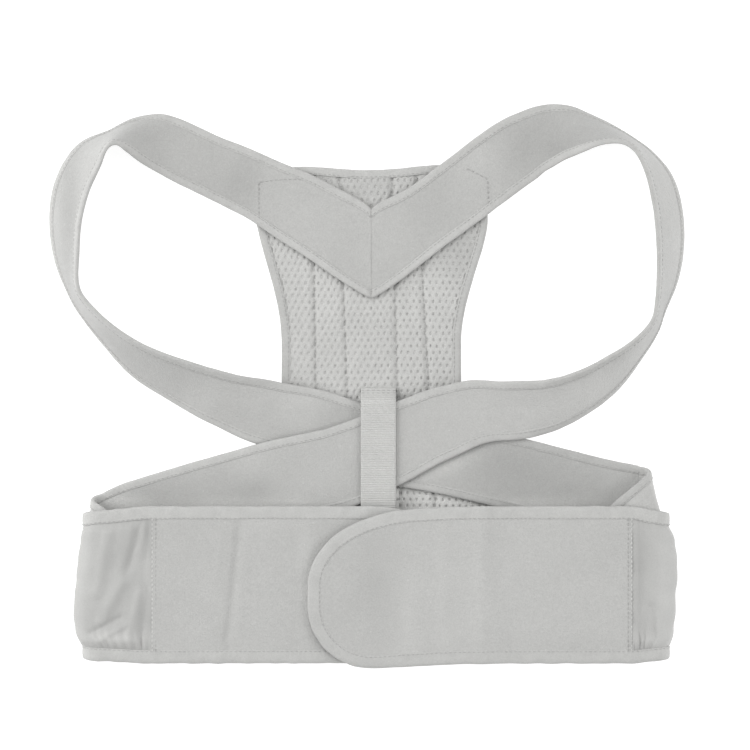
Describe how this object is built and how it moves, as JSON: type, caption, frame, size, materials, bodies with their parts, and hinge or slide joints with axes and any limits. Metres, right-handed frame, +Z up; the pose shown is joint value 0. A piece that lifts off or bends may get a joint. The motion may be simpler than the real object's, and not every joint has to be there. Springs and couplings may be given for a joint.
{
  "type": "posture corrector",
  "caption": "Wearable back support: padded mesh back panel, two crossed shoulder straps forming arm loops, and a wide waist belt that overlaps and closes in front, lying flat.",
  "frame": {"origin": "centre of the back panel's underside, where it lies on a surface", "axes": "+Y along the back panel to its shoulder end, +Z up from the surface to the closed belt's front, +X to the side of the belt's right-hand front panel as seen from above"},
  "size_m": [0.4546, 0.4005, 0.0427],
  "materials": {
    "strap_fabric": "brushed loop pile, matt",
    "mesh_fabric": "open spacer mesh, matt",
    "binding_tape": "woven tape folded over the edge",
    "webbing": "ribbed elastic webbing",
    "side_fabric": "puckered stretch fabric",
    "hook_tape": "fine nylon hooks"
  },
  "bodies": {
    "root": {"back_panel": "mesh_fabric", "back_panel_binding": "binding_tape", "webbing_keeper": "webbing", "hook_patch": "hook_tape", "shoulder_strap_left": "strap_fabric", "strap_binding_left_inner": "binding_tape", "strap_binding_left_outer": "binding_tape", "belt_panel_left": "strap_fabric", "belt_binding_left": "binding_tape", "side_panel_left": "side_fabric", "shoulder_strap_right": "strap_fabric", "strap_binding_right_inner": "binding_tape", "strap_binding_right_outer": "binding_tape", "belt_panel_right": "strap_fabric", "belt_binding_right": "binding_tape", "side_panel_right": "side_fabric"}
  },
  "joints": []
}
